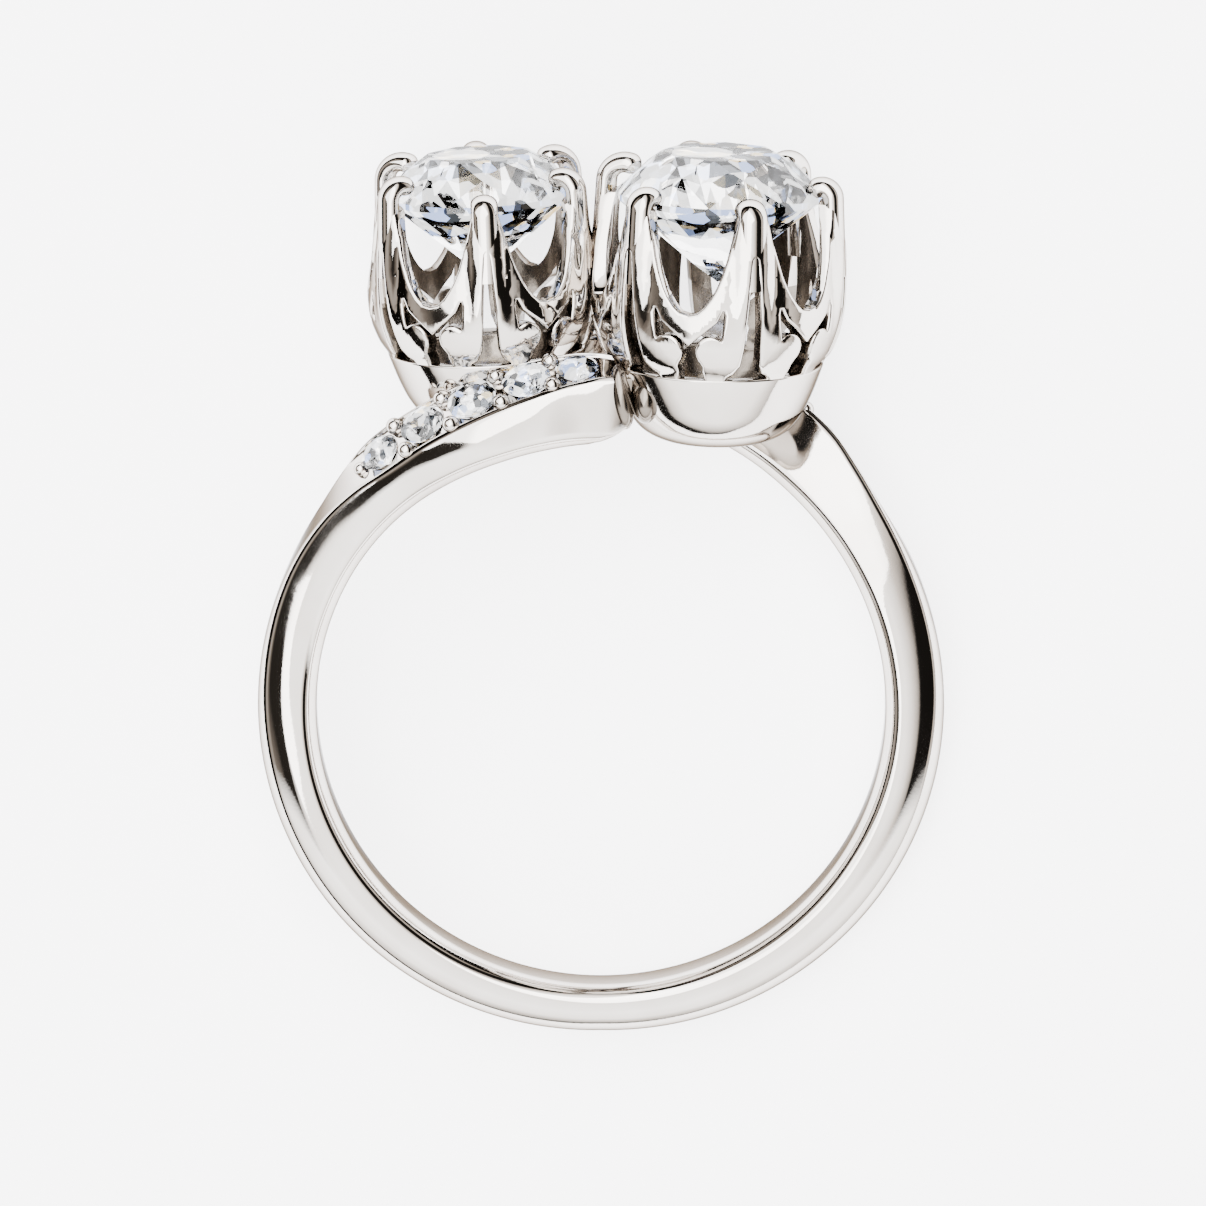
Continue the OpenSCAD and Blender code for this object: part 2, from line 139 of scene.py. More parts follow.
def along(rows, column, x):
    """A smooth curve through one column of a table, by its first column."""
    i = 0
    while i < len(rows) - 2 and x >= rows[i + 1][0]:
        i += 1

    def slope(k):
        a, b = max(k - 1, 0), min(k + 1, len(rows) - 1)
        return (rows[b][column] - rows[a][column]) / (rows[b][0] - rows[a][0])
    h = rows[i + 1][0] - rows[i][0]
    t = limited((x - rows[i][0]) / h)
    return ((2 * t ** 3 - 3 * t ** 2 + 1) * rows[i][column] + (t ** 3 - 2 * t ** 2 + t) * h * slope(i)
            + (3 * t ** 2 - 2 * t ** 3) * rows[i + 1][column] + (t ** 3 - t ** 2) * h * slope(i + 1))


def arm_r(turn):
    if turn < 90:
        return finger_r + between(arm_t, side_t, sin(radians(limited(1.6 * turn, 0, 90))))
    return finger_r + between(bottom_t, side_t, sin(radians(turn)))


def arm_cant(turn):
    return radians(channel_cant * along(arm_rows, CANT, turn))


def arm_w(turn):
    return band_w * along(arm_rows, WIDE, turn)


def arm_front(turn):
    return -arm_swing * along(arm_rows, SWING, turn) - arm_w(turn) / 2


def top_w(turn):
    return min(channel_w, (arm_w(turn) - 2 * rail_w) / cos(arm_cant(turn)))


def channel_y(turn):
    return arm_front(turn) + rail_w + top_w(turn) / 2 * cos(arm_cant(turn))


corner_share = 0.46


def rounded(points, closed=True, steps=3):
    """A polygon with each corner eased by a short curve, always with as many points."""
    result = []
    n = len(points)
    for i, p in enumerate(points):
        if not closed and i in (0, n - 1):
            result.append(p)
            continue
        before, after = points[i - 1], points[(i + 1) % n]
        reach = corner_share * min((before - p).length, (after - p).length)
        a, b = p + (before - p).normalized() * reach, p + (after - p).normalized() * reach
        for k in range(steps + 1):
            t = k / steps
            result.append(a.lerp(p, t).lerp(p.lerp(b, t), t))
    return result


round_angles = [0, 22, 45, 58, 66, 74, 90, 106, 114, 122, 135, 158, 180]


def arm_section(turn):
    """The arm's cut face at one turn, as points of distance from the axis and Y."""
    front, wide, radius = arm_front(turn), arm_w(turn), arm_r(turn)
    cant, top = arm_cant(turn), top_w(turn)
    lift = along(arm_rows, LIFT, turn)
    lifted_r = finger_r + between(-inner_bite, comfort, lift)
    edge = max(finger_r + comfort, lifted_r + edge_rise)
    inside = max(finger_r + finger_gap, lifted_r)
    slant = max(inside + slant_rise, finger_r + slant_share * comfort)
    side = (wide - land_w * wide / band_w) / 2
    land = side * between(land_share, lifted_land_share, limited(lift))
    deep = channel_depth * limited((channel_end - turn) / channel_fade)

    def on_top(across, down):
        return Vector((radius + (across - top / 2) * sin(cant) - down * cos(cant),
                       front + rail_w + across * cos(cant) + down * sin(cant)))
    low_r, high_r = radius - top / 2 * sin(cant), radius + top / 2 * sin(cant)
    top_back = front + rail_w + top * cos(cant)
    back = front + wide
    flat = [Vector((edge, front)), Vector((between(edge, low_r, 0.5), front - 0.03 * wide)),
            Vector((low_r - rail_w, front)), on_top(0, 0), on_top(wall_top, 0), on_top(wall_foot, deep),
            on_top(top / 2, deep), on_top(top - wall_foot, deep), on_top(top - wall_top, 0), on_top(top, 0),
            Vector((high_r - rail_w, min(top_back + rail_w, back))),
            Vector((between(edge, high_r, 0.45), between(top_back + rail_w, back, 0.7))),
            Vector((edge, back))]
    dome = [Vector((edge + (radius - edge) * sin(radians(a)) ** dome_power,
                    front + wide * (1 - cos(radians(a))) / 2)) for a in round_angles]
    flatness = along(arm_rows, FLAT, turn)
    outer = [a.lerp(b, flatness) for a, b in zip(dome, flat)]
    inner = [Vector((slant, back - side / 2)), Vector((inside, back - land)),
             Vector((inside, front + land)), Vector((slant, front + side / 2))]
    return rounded(outer + inner)


def linear(colour):
    channels = [int(colour[i:i + 2], 16) / 255 for i in (1, 3, 5)]
    return [c / 12.92 if c <= 0.04045 else ((c + 0.055) / 1.055) ** 2.4 for c in channels] + [1]


def add_node(material, kind, settings={}, links={}, stops=()):
    """Adds a node with its settings, its links from other sockets and a ramp's stops."""
    node = material.node_tree.nodes.new(kind)
    for name, value in settings.items():
        if isinstance(name, str) and hasattr(node, name):
            setattr(node, name, value)
        else:
            node.inputs[name].default_value = value
    for name, socket in links.items():
        material.node_tree.links.new(socket, node.inputs[name])
    if stops:
        elements = node.color_ramp.elements
        while len(elements) < len(stops):
            elements.new(0.5)
        for element, (position, colour) in zip(elements, stops):
            element.position = position
            element.color = linear(colour)
    return node


# Platinum, filed and buffed with rouge: a warm white mirror. The buffing leaves a faint
# unevenness that softens the reflections in places, and hairlines too fine to show, which
# are drawn coarser. The specular tint darkens the metal where it is seen edge on, so that
# its outline stands out from the pale floor.
platinum = bpy.data.materials.new("polished_platinum")
platinum.use_nodes = True
platinum.node_tree.nodes.clear()
buffing_mm, hairline_mm = 1.6, 0.12
place = add_node(platinum, "ShaderNodeTexCoord")
buffing = add_node(platinum, "ShaderNodeTexNoise", {"Scale": 1000 / buffing_mm, "Detail": 3.0},
                   {"Vector": place.outputs["Object"]})
softness = add_node(platinum, "ShaderNodeMapRange",
                    {"From Min": 0.3, "From Max": 0.75, "To Min": 0.035, "To Max": 0.09},
                    {"Value": buffing.outputs["Fac"]})
hairlines = add_node(platinum, "ShaderNodeTexNoise", {"Scale": 1000 / hairline_mm, "Detail": 2.0},
                     {"Vector": place.outputs["Object"]})
relief = add_node(platinum, "ShaderNodeBump", {"Strength": 0.03, "Distance": 0.00002},
                  {"Height": hairlines.outputs["Fac"]})
shade = add_node(platinum, "ShaderNodeMapRange", {"From Min": 0.3, "From Max": 0.75},
                 {"Value": buffing.outputs["Fac"]})
tone = add_node(platinum, "ShaderNodeMix",
                {"data_type": "RGBA", "A": linear("#CFCAC5"), "B": linear("#C5BFB9")},
                {"Factor": shade.outputs["Result"]})
metal = add_node(platinum, "ShaderNodeBsdfPrincipled", {"Metallic": 1.0, "Specular Tint": linear("#5E5852")},
                 {"Base Color": tone.outputs["Result"], "Roughness": softness.outputs["Result"],
                  "Normal": relief.outputs["Normal"]})
add_node(platinum, "ShaderNodeOutputMaterial", {}, {"Surface": metal.outputs["BSDF"]})

# The same platinum where the buff hardly reaches, inside the cups and in the joints. It
# keeps some of the grain of the casting and mirrors softly. Its darker grey is painted
# shade, for the shadow that falls inside the cups and between the parts of each joint.
cast_skin_painted_shade = bpy.data.materials.new("cast_platinum_skin_painted_shade")
cast_skin_painted_shade.use_nodes = True
cast_skin_painted_shade.node_tree.nodes.clear()
grit_mm = 0.25
place = add_node(cast_skin_painted_shade, "ShaderNodeTexCoord")
grit = add_node(cast_skin_painted_shade, "ShaderNodeTexNoise", {"Scale": 1000 / grit_mm, "Detail": 4.0},
                {"Vector": place.outputs["Object"]})
dull = add_node(cast_skin_painted_shade, "ShaderNodeMapRange", {"To Min": 0.10, "To Max": 0.24},
                {"Value": grit.outputs["Fac"]})
grain = add_node(cast_skin_painted_shade, "ShaderNodeBump", {"Strength": 0.15, "Distance": 0.00003},
                 {"Height": grit.outputs["Fac"]})
# Darker grey as painted shade, varied at random by the grain
grey = add_node(cast_skin_painted_shade, "ShaderNodeMix",
                {"data_type": "RGBA", "A": linear("#7A736B"), "B": linear("#645D56")},
                {"Factor": grit.outputs["Fac"]})
skin = add_node(cast_skin_painted_shade, "ShaderNodeBsdfPrincipled", {"Metallic": 1.0},
                {"Base Color": grey.outputs["Result"], "Roughness": dull.outputs["Result"],
                 "Normal": grain.outputs["Normal"]})
add_node(cast_skin_painted_shade, "ShaderNodeOutputMaterial", {}, {"Surface": skin.outputs["BSDF"]})


def made_object(name, bm):
    """An object of the shape, in the scene."""
    mesh = bpy.data.meshes.new(name)
    bm.to_mesh(mesh)
    bm.free()
    made = bpy.data.objects.new(name, mesh)
    scene.collection.objects.link(made)
    return made


crease = radians(35)


def finished_metal(name, bm):
    """Turns a shape onto its side, smooths its shading and lets it stand for the CAD metal."""
    bmesh.ops.transform(bm, matrix=laid, verts=bm.verts)
    piece = made_object(name, bm)
    piece.data.materials.append(platinum)
    piece.data.materials.append(cast_skin_painted_shade)
    piece.data.shade_smooth()
    piece.data.set_sharp_from_angle(angle=crease)
    # The wide faces stay flat and only the narrow ones beside an edge turn the light
    piece.modifiers.new("even_shading", "WEIGHTED_NORMAL").keep_sharp = True
    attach(piece, "root")
    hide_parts("ring_mount")


def verts_in(geom):
    return [g for g in geom if isinstance(g, bmesh.types.BMVert)]


def edges_in(geom):
    return [g for g in geom if isinstance(g, bmesh.types.BMEdge)]


def everything(bm):
    return list(bm.verts) + list(bm.edges) + list(bm.faces)


# A plain hoop is spun round the finger, and each of its rings then takes the arm's cut
# face at that turn. The other arm is the same, turned half a turn.
first_turn = arm_rows[0][TURN]
turn_step = 1.25
hoop_r = 10
around = len(arm_section(90))
band = bmesh.new()
loop = bmesh.ops.create_circle(band, segments=around, radius=1)["verts"]
out_to_hoop = Matrix.Translation((hoop_r, 0, 0))
onto_end = Matrix.Rotation(radians(-first_turn - 90), 4, "Y")
bmesh.ops.transform(band, matrix=onto_end @ out_to_hoop, verts=loop)
bmesh.ops.spin(band, geom=list(band.verts) + list(band.edges), cent=(0, 0, 0), axis=(0, -1, 0),
               angle=radians(180 - first_turn), steps=round((180 - first_turn) / turn_step))
sections = {}
for v in band.verts:
    turn = degrees(atan2(-v.co.x, v.co.z)) % 360
    turn = round((turn - 360 if turn > 270 else turn) * 100) / 100
    if turn not in sections:
        sections[turn] = arm_section(turn)
    k = round(atan2(v.co.y, hypot(v.co.x, v.co.z) - hoop_r) / (2 * pi / around)) % around
    r, y = sections[turn][(k + around // 2) % around]
    v.co = (-r * sin(radians(turn)), y, r * cos(radians(turn)))
other_arm = bmesh.ops.duplicate(band, geom=everything(band))["geom"]
bmesh.ops.rotate(band, cent=(0, 0, 0), matrix=Matrix.Rotation(pi, 3, "Z"), verts=verts_in(other_arm))
bmesh.ops.remove_doubles(band, verts=band.verts, dist=0.002)
open_edges = [e for e in band.edges if e.is_boundary]
ends = bmesh.ops.edgeloop_fill(band, edges=open_edges)["faces"]
bmesh.ops.recalc_face_normals(band, faces=band.faces)
end_edge, end_swell = 0.08, 0.05
bmesh.ops.inset_region(band, faces=ends, thickness=end_edge, depth=end_swell)

# The seats of the small stones, drilled and flared with a burr. Each stone has its turn
# from the top in degrees and its share of small_d. The burr has its point as shares of
# its radius, then its edge below the flat top and its reach above it.
small_d = 1.45
small_stones = [[39.2, 0.82], [30.4, 0.93], [21.2, 1.00], [11.9, 0.98], [3.8, 0.84]]
stone_gap = 0.03
burr_point = [(0, -0.9), (0.25, -0.8)]
burr_edge, burr_reach = -0.05, 0.6


def on_arm(turn, across=0):
    return (Matrix.Rotation(radians(-turn), 4, "Y") @ Matrix.Translation((0, channel_y(turn), arm_r(turn)))
            @ Matrix.Rotation(arm_cant(turn), 4, "X") @ Matrix.Translation((0, across, 0)))


both_arms = [Matrix.Identity(4), Matrix.Rotation(pi, 4, "Z")]
seats = bmesh.new()
for side in both_arms:
    for turn, share in small_stones:
        r = small_d * share / 2 + stone_gap
        outline = [(x * r, 0, z * r) for x, z in burr_point]
        outline += [(r, 0, burr_edge), (r, 0, burr_reach), (0, 0, burr_reach)]
        profile = [seats.verts.new(p) for p in outline]
        rim = [seats.edges.new(pair) for pair in zip(profile, profile[1:])]
        bmesh.ops.spin(seats, geom=profile + rim, cent=(0, 0, 0), axis=(0, 0, 1), angle=2 * pi, steps=48,
                       use_merge=True)
        burr = [v for v in seats.verts if not v.tag]
        bmesh.ops.remove_doubles(seats, verts=burr, dist=0.0005)
        burr = [v for v in seats.verts if not v.tag]
        bmesh.ops.transform(seats, matrix=side @ on_arm(turn), verts=burr)
        for v in burr:
            v.tag = True
bmesh.ops.recalc_face_normals(seats, faces=seats.faces)
burrs = made_object("burrs", seats)
blank = made_object("blank", band)
drilling = blank.modifiers.new("drilling", "BOOLEAN")
drilling.object, drilling.operation, drilling.solver = burrs, "DIFFERENCE", "EXACT"
drilled = bmesh.new()
drilled.from_object(blank, bpy.context.evaluated_depsgraph_get())
bpy.data.objects.remove(blank)
bpy.data.objects.remove(burrs)
finished_metal("band", drilled)

# Beads on the arms
# Small beads of platinum, raised from the channel's floor with a graver and rounded, that
# hold the arm stones: a pair in each gap, and a smaller one at the channel's point.
bead_r = 0.25
bead_across = 0.36 * channel_w
point_turn, point_bead_r = 43.6, 0.8 * bead_r
beads = bmesh.new()
for side in both_arms:
    gaps = [((a[0] + b[0]) / 2, across * bead_across, bead_r)
            for a, b in zip(small_stones, small_stones[1:]) for across in (-1, 1)]
    for turn, across, r in gaps + [(point_turn, 0, point_bead_r)]:
        bmesh.ops.create_uvsphere(beads, u_segments=24, v_segments=16, radius=r,
                                  matrix=side @ on_arm(turn, across))
finished_metal("beads", beads)

# The joints
# Where each arm meets a bowl, three small swellings of platinum are soldered side by
# side: a leaf on the arm's end, a thin ridge and a round lobe.

# Each one's middle and half its size in millimetres, and its tilt in degrees
swellings = [
    [(0.60, -2.55, 9.65), (0.34, 0.50, 0.95), 8],
    [(0.77, -2.62, 9.80), (0.07, 0.50, 0.80), 20],
    [(1.27, -2.60, 9.58), (0.40, 0.60, 0.68), 0]]
joints = bmesh.new()
for side in both_arms:
    for centre, half, tilt in swellings:
        stands = Matrix.Translation(centre) @ Matrix.Rotation(radians(-tilt), 4, "Y")
        bmesh.ops.create_uvsphere(joints, u_segments=48, v_segments=32, radius=1,
                                  matrix=side @ stands @ Matrix.Diagonal((*half, 1)))
# The joints take the casting's skin, whose darker grey is painted shade between the arm and the bowl
for f in joints.faces:
    f.material_index = 1
finished_metal("joints", joints)

# The heads
# Two cups cast in platinum, each pierced with a saw into six prongs that stand on scrolled
# feet, and soldered on a plain bowl. The right one is a little larger.
head_r = 3.5
bowl_h = 2.2
girdle_h = 4.47
collar_h = 1.8
slit_h = 3.35
wall = 0.5
stone_d = 5.52
crown_h = 0.21 * stone_d
prong_count = 6
sector = 2 * pi / prong_count
bay = head_r * sin(sector / 2)

# The outline of half a bay, from its middle to the middle of a prong. The first column is
# a share of bay, the second of the way from collar_h to girdle_h, then of girdle_h,
# slit_h and collar_h.
opening = [[0.14, 0.02], [0.25, 0.08], [0.36, 0.17], [0.44, 0.26], [0.53, 0.39],
           [0.61, 0.55], [0.68, 0.71], [0.735, 0.85], [0.77, 0.94], [0.80, 0.98]]
prong_top = [(0.84, 0.995), (0.90, 1.005), (0.96, 1.01)]
slit = [[0.012, 0.985], [0.03, 0.93], [0.05, 0.8], [0.09, 0.5], [0.12, 0.25], [0.15, 0.12],
        [0.24, 0.04], [0.35, 0.01]]
scroll = [[0.53, 0.63], [0.56, 0.85], [0.575, 1.0], [0.565, 1.07], [0.545, 1.07], [0.50, 0.98],
          [0.46, 0.90], [0.30, 0.77], [0.15, 0.65]]
scroll_x, scroll_z = 0.365 * bay, 0.44 * collar_h
scroll_r = 0.45
foot_sunk = -0.12
upper = [(0, collar_h)] + [(s * bay, between(collar_h, girdle_h, t)) for s, t in opening]
upper += [(s * bay, t * girdle_h) for s, t in prong_top]
lower = [(bay, slit_h)] + [((1 - s) * bay, t * slit_h) for s, t in slit]
lower += [(0.60 * bay, foot_sunk), (0.26 * bay, foot_sunk), (0.21 * bay, 0.12 * collar_h),
          (0.22 * bay, 0.20 * collar_h)]
lower += [(scroll_x + scroll_r * cos(radians(a)), scroll_z + scroll_r * sin(radians(a)))
          for a in range(225, 50, -15)]
lower += [(s * bay, t * collar_h) for s, t in scroll] + [(0, 0.53 * collar_h)]


def mirrored(half):
    return [(-x, z) for x, z in half]


# Three bays side by side, laid flat, of which the middle one is kept
strip_end, strip_top = 3.4 * bay, 0.98 * girdle_h
flat_outline = []
for bay_x in (-2 * bay, 0, 2 * bay):
    flat_outline += [(x + bay_x, z) for x, z in list(reversed(mirrored(upper)))[:-1] + upper]
flat_outline += [(strip_end, strip_top), (strip_end, slit_h)]
for bay_x in (2 * bay, 0, -2 * bay):
    flat_outline += [(x + bay_x, z) for x, z in lower + list(reversed(mirrored(lower)))[1:-1]]
flat_outline += [(-3 * bay, slit_h), (-strip_end, slit_h), (-strip_end, strip_top)]

# The pierced sheet is thick behind, and its edges are eased towards its face in steps, by
# how far in and how far up
face_steps = [(0.012, 0.030), (0.018, 0.020), (0.025, 0.015), (0.030, 0.008)]
eased_depth = sum(depth for thickness, depth in face_steps)
sheet = bmesh.new()
back = sheet.faces.new([sheet.verts.new((x, z, -wall)) for x, z in flat_outline])
back.normal_update()
if back.normal.z < 0:
    back.normal_flip()
lifted = bmesh.ops.extrude_face_region(sheet, geom=[back], use_keep_orig=True)["geom"]
bmesh.ops.translate(sheet, vec=(0, 0, wall - eased_depth), verts=verts_in(lifted))
face = [g for g in lifted if isinstance(g, bmesh.types.BMFace)]
for thickness, depth in face_steps:
    bmesh.ops.inset_region(sheet, faces=face, thickness=thickness, depth=depth, use_boundary=True,
                           use_even_offset=False)
bmesh.ops.triangulate(sheet, faces=[f for f in sheet.faces if len(f.verts) > 4])
for x in (-bay, bay):
    bmesh.ops.bisect_plane(sheet, geom=everything(sheet), dist=1e-6, plane_co=(x, 0, 0), plane_no=(x, 0, 0),
                           clear_outer=True)

# The sheet is sliced both ways, so that it can be bent round
slices = 32
slice_mm = 0.2
cup_top = 1.05 * girdle_h
for k in range(1, slices):
    bmesh.ops.bisect_plane(sheet, geom=everything(sheet), dist=1e-6,
                           plane_co=((2 * k / slices - 1) * bay, 0, 0), plane_no=(1, 0, 0))
for k in range(int((cup_top - foot_sunk) / slice_mm)):
    bmesh.ops.bisect_plane(sheet, geom=everything(sheet), dist=1e-6,
                           plane_co=(0, foot_sunk + (k + 0.5) * slice_mm, 0), plane_no=(0, 1, 0))

# The inside, and the sawn walls low down, keep the casting's skin, whose darker grey is painted shade
unbuffed_and_shaded_below = 1.5
for f in sheet.faces:
    at = f.calc_center_median()
    if at.z < -0.6 * wall or (at.z < -0.3 * wall and at.y < unbuffed_and_shaded_below):
        f.material_index = 1

# The cup's outside, as a height and a share of head_r. Each prong is filed round across
# its face, more so towards its top.
cup_rows = [[-0.33 * bowl_h, 0.76], [0, 0.825], [0.2 * collar_h, 0.89], [0.45 * collar_h, 0.94],
            [0.75 * collar_h, 0.98], [collar_h, 0.995], [0.55 * girdle_h, 1.0], [0.68 * girdle_h, 0.997],
            [0.80 * girdle_h, 0.98], [0.93 * girdle_h, 0.955], [cup_top, 0.925]]
prong_round = 0.6
prong_half_w = 0.55
for v in sheet.verts:
    angle = asin(limited(v.co.x / head_r, -1, 1))
    rounding = prong_round * limited((v.co.y - 0.5 * collar_h) / collar_h) * limited(1 + v.co.z / wall)
    off_prong = min(bay - abs(v.co.x), prong_half_w)
    r = along(cup_rows, 1, v.co.y) * head_r + v.co.z - rounding * off_prong ** 2
    v.co = (r * sin(angle), -r * cos(angle), v.co.y)
one_bay = everything(sheet)
bmesh.ops.rotate(sheet, cent=(0, 0, 0), matrix=Matrix.Rotation(sector / 2, 3, "Z"), verts=sheet.verts)
for i in range(1, prong_count):
    copy = bmesh.ops.duplicate(sheet, geom=one_bay)["geom"]
    bmesh.ops.rotate(sheet, cent=(0, 0, 0), matrix=Matrix.Rotation(i * sector, 3, "Z"), verts=verts_in(copy))
bmesh.ops.remove_doubles(sheet, verts=sheet.verts, dist=0.0005)
bmesh.ops.recalc_face_normals(sheet, faces=sheet.faces)

# The bowl under the cup, turned with a crisp rim. The outside is shares of head_r and of
# bowl_h, the inside is millimetres.
bowl = bmesh.new()
bowl_outside = [(0, -1), (0.30, -1.00), (0.44, -0.96), (0.58, -0.84), (0.68, -0.62), (0.76, -0.33),
                (0.825, -0.02)]
bowl_inside = [(0.80 * head_r, 0), (0.82 * head_r - wall, -0.02 * bowl_h),
               (0.80 * head_r - wall, -0.12 * bowl_h), (0.7 * head_r - wall, -0.45 * bowl_h),
               (0.3 * head_r, -bowl_h + wall), (0, -bowl_h + wall)]
bowl_corners = [Vector((s * head_r, t * bowl_h)) for s, t in bowl_outside] + [Vector(p) for p in bowl_inside]
bowl_line = rounded(bowl_corners, closed=False, steps=4)
turned = [bowl.verts.new((p.x, 0, p.y)) for p in bowl_line]
turned_edges = [bowl.edges.new(pair) for pair in zip(turned, turned[1:])]
bmesh.ops.spin(bowl, geom=turned + turned_edges, cent=(0, 0, 0), axis=(0, 0, 1), angle=2 * pi, steps=128,
               use_merge=True)
bmesh.ops.remove_doubles(bowl, verts=bowl.verts, dist=0.0005)
bmesh.ops.recalc_face_normals(bowl, faces=bowl.faces)
# The bowl's inside takes the casting's skin, whose darker grey is painted shade inside the cup
inner_r, inner_floor = 0.78 * head_r, -bowl_h + 0.5 * wall
for f in bowl.faces:
    at = f.calc_center_median()
    if at.xy.length < inner_r and at.z > inner_floor and f.normal.z > 0.05:
        f.material_index = 1

# Half the thickness and half the width of a claw, how far it leans in, and how far over
# the stone it is bent. Then the rise of each above the girdle, as a share of the crown,
# from the front prong round by the right.
claw_t, claw_w = 0.28, 0.39
claw_lean = radians(3)
claw_bend = radians(108) - claw_lean
tip_step = pi / 16
left_claws = [0.40, 0.75, 0.96, 0.96, 0.96, 0.75]
right_claws = [0.32, 0.56, 0.78, 0.88, 0.87, 0.46]


def bent_claw(claws, height, turn):
    """A claw that grows out of a prong, is bent over the stone and ends in a rounded tip."""
    foot_r, foot_z = head_r - claw_t, 0.55 * girdle_h
    bend_r = max(1.1 * claw_t, 0.7 * height - 0.2)
    length = (girdle_h + height - claw_t - bend_r - foot_z + bend_r * sin(claw_lean)) / cos(claw_lean)
    before = set(claws.verts)
    rod = bmesh.ops.create_circle(claws, cap_ends=True, segments=32, radius=claw_t,
                                  matrix=Matrix.Translation((0, -foot_r, foot_z)))["verts"]
    edges = list({e for v in rod for e in v.link_edges})
    grown = bmesh.ops.extrude_edge_only(claws, edges=edges)["geom"]
    bmesh.ops.translate(claws, vec=(0, 0, length), verts=verts_in(grown))
    bent = bmesh.ops.spin(claws, geom=verts_in(grown) + edges_in(grown), axis=(-1, 0, 0), angle=claw_bend,
                          cent=(0, bend_r - foot_r, foot_z + length), steps=16)["geom_last"]
    edges = edges_in(bent)
    way = Vector((0, sin(claw_bend), cos(claw_bend)))
    gone = 0
    for k in range(1, 8):
        angle = k * tip_step
        grown = bmesh.ops.extrude_edge_only(claws, edges=edges)["geom"]
        tip, edges = verts_in(grown), edges_in(grown)
        centre = sum((v.co for v in tip), Vector()) / len(tip)
        narrower = Vector((1, 1, 1)) * cos(angle) / cos(angle - tip_step)
        bmesh.ops.scale(claws, vec=narrower, space=Matrix.Translation(-centre), verts=tip)
        bmesh.ops.translate(claws, vec=way * (claw_t * sin(angle) - gone), verts=tip)
        gone = claw_t * sin(angle)
    bmesh.ops.edgeloop_fill(claws, edges=edges)
    new = [v for v in claws.verts if v not in before]
    bmesh.ops.scale(claws, vec=(claw_w / claw_t, 1, 1), verts=new)
    bmesh.ops.rotate(claws, cent=(0, -foot_r, foot_z), matrix=Matrix.Rotation(-claw_lean, 3, "X"), verts=new)
    bmesh.ops.rotate(claws, cent=(0, 0, 0), matrix=Matrix.Rotation(turn, 3, "Z"), verts=new)


# Where each head stands in millimetres, its turn and tilt in degrees, its size beside the
# left one, and its claws
heads = {"left": [(-3.47, 0.95), 3, -2.5, 1.0, left_claws],
         "right": [(3.38, -0.95), 16, 1, 1.07, right_claws]}
rim_z = 10.44
stone_middles = {}
for name, (at, turn, tilt, size, rises) in heads.items():
    stands = (Matrix.Translation((*at, rim_z + size * girdle_h)) @ Matrix.Rotation(radians(tilt), 4, "Y")
              @ Matrix.Rotation(radians(turn), 4, "Z") @ Matrix.Scale(size, 4)
              @ Matrix.Translation((0, 0, -girdle_h)))
    stone_middles[name + "_stone"] = laid @ stands @ Matrix.Translation((0, 0, girdle_h))
    claws = bmesh.new()
    for i, share in enumerate(rises):
        bent_claw(claws, share * crown_h, i * sector)
    bmesh.ops.recalc_face_normals(claws, faces=claws.faces)
    for kind, shape in (("gallery", sheet.copy()), ("bowl", bowl.copy()), ("claws", claws)):
        bmesh.ops.transform(shape, matrix=stands, verts=shape.verts)
        finished_metal(f"{name}_{kind}", shape)
sheet.free()
bowl.free()

# The stones
# Colourless round brilliants, cut from diamond and polished to flat facets with keen
# edges. Each large one is held by its head's six claws, each small one by its beads.
small_painted_cell_mm = 0.24
painted_cell_mm = 0.50
facet_fold = pi / 8
index = 2.2
# Colours of the painted facet reflections, then of the painted highlights, which glow
painted_facet_reflections = [(0.0, "#FFFFFF"), (0.34, "#777B82"), (0.50, "#FFFFFF"), (0.62, "#23272C"),
               (0.78, "#FFFFFF"), (0.90, "#CCDDFF"), (0.96, "#FFECC0")]
painted_glow_highlights = [(0.0, "#000000"), (0.46, "#FFFFFF"), (0.70, "#000000"), (0.88, "#B4CAFF"),
           (0.92, "#000000"), (0.97, "#FFDFA0")]
